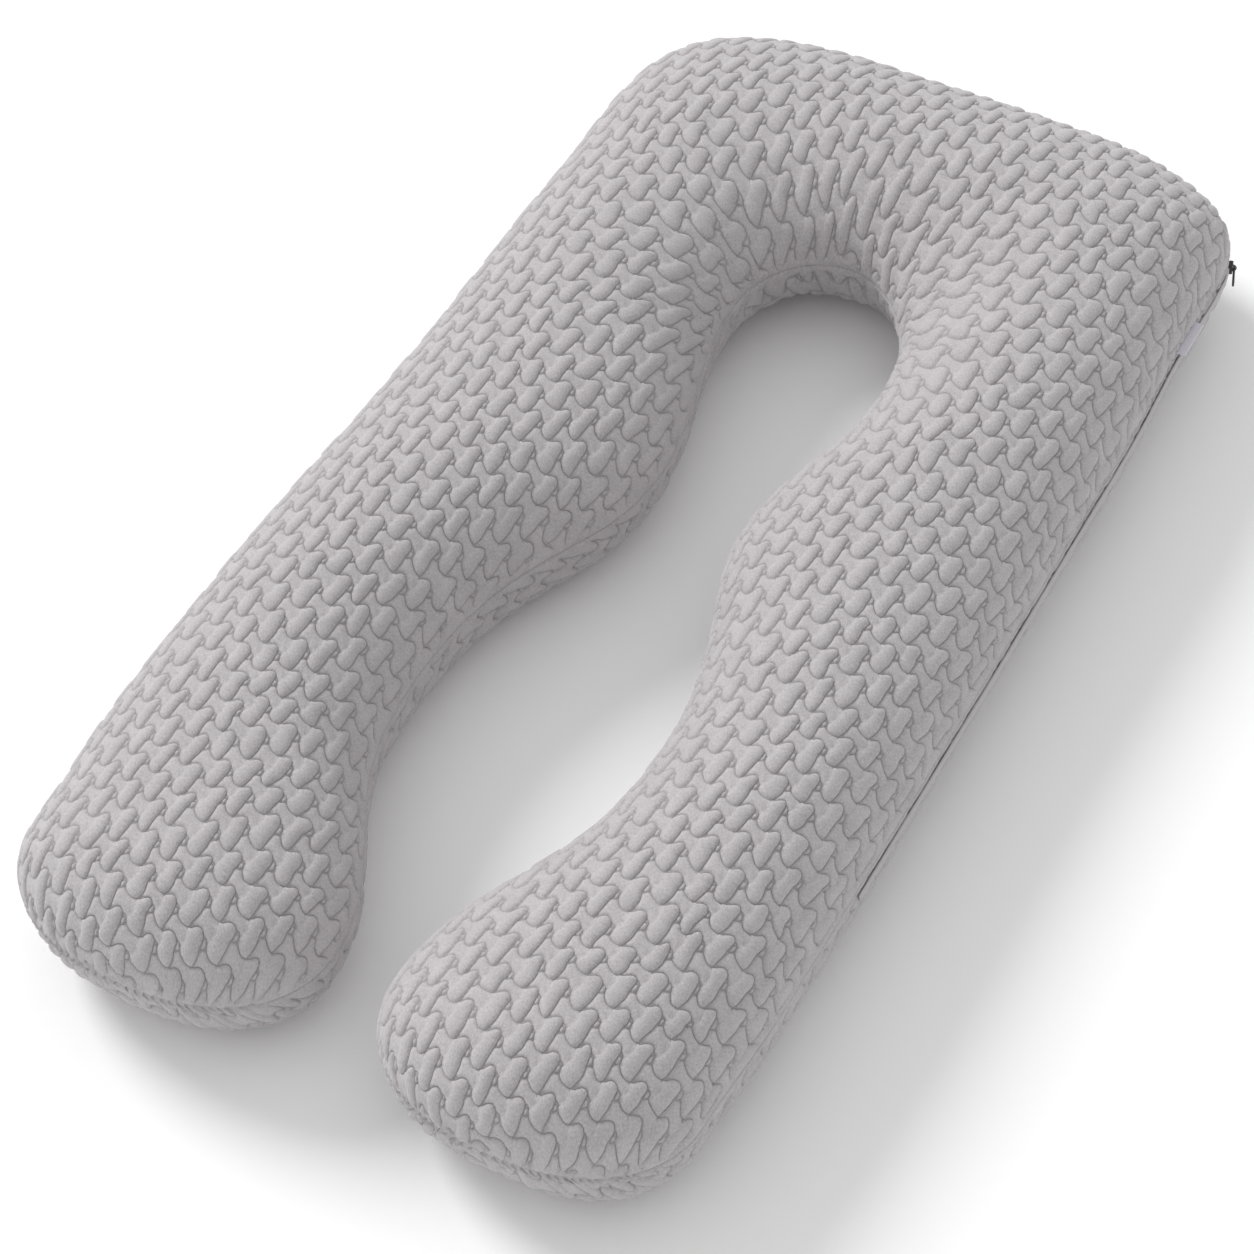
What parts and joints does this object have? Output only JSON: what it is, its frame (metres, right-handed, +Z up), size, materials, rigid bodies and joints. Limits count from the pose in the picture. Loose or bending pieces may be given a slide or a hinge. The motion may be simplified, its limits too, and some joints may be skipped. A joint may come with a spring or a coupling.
{
  "type": "pregnancy pillow",
  "caption": "U-shaped full-length body pillow with a quilted stretch cover, waisted legs, a side zip and a blank label.",
  "frame": {"origin": "middle of the footprint, on the surface that the pillow lies on", "axes": "+Z up through the crown, +Y from the feet of the two legs to the bar that joins them, +X to the zip side"},
  "size_m": [0.7886, 1.4496, 0.2],
  "materials": {
    "cover": "quilted melange knit, soft matt",
    "zip_metal": "gunmetal lacquered zinc",
    "label": "smooth woven tape, blank"
  },
  "bodies": {
    "root": {"pillow": "cover", "zip_placket": "cover", "zip_slider": "zip_metal", "zip_pull": "zip_metal", "side_label": "label"}
  },
  "joints": []
}
